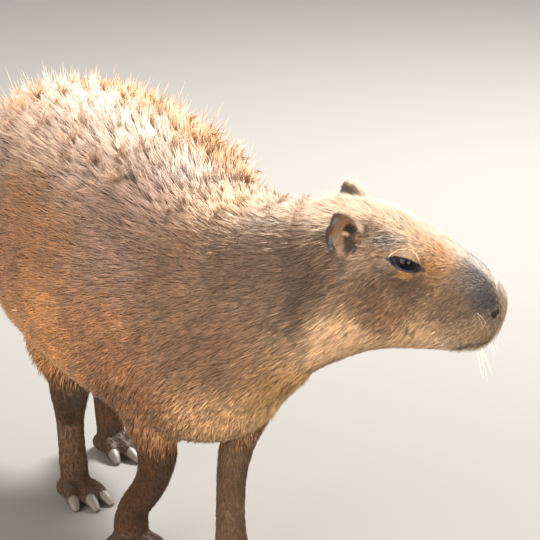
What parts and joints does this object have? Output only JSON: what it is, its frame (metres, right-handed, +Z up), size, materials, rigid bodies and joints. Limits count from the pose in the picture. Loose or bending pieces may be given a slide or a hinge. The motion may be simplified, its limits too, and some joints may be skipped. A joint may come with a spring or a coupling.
{
  "type": "standing capybara model",
  "caption": "Life-size still model of a standing capybara with a bristly brown coat, its head turned to its left and looking ahead.",
  "frame": {"origin": "on the floor, under the middle of the model's bounding box", "axes": "+X along the trunk towards the chest, +Y towards the animal's left, +Z up"},
  "size_m": [1.0168, 0.428, 0.5744],
  "materials": {
    "torso": "coarse tawny brown coat, pale along the back",
    "neck": "coarse grey-brown coat",
    "head": "short brown fur, dark grey on the muzzle",
    "eyes": "wet, nearly black",
    "ears": "thin grey-brown skin with sparse hair",
    "legs": "short dark brown fur",
    "feet": "dark skin with thin hair and blunt claws"
  },
  "bodies": {
    "root": {"torso": "torso", "neck": "neck", "head": "head", "eye_left": "eyes", "eye_right": "eyes", "ear_left": "ears", "ear_right": "ears", "foreleg_left": "legs", "foreleg_right": "legs", "hindleg_left": "legs", "hindleg_right": "legs", "forefoot_left": "feet", "forefoot_right": "feet", "hindfoot_left": "feet", "hindfoot_right": "feet"}
  },
  "joints": []
}
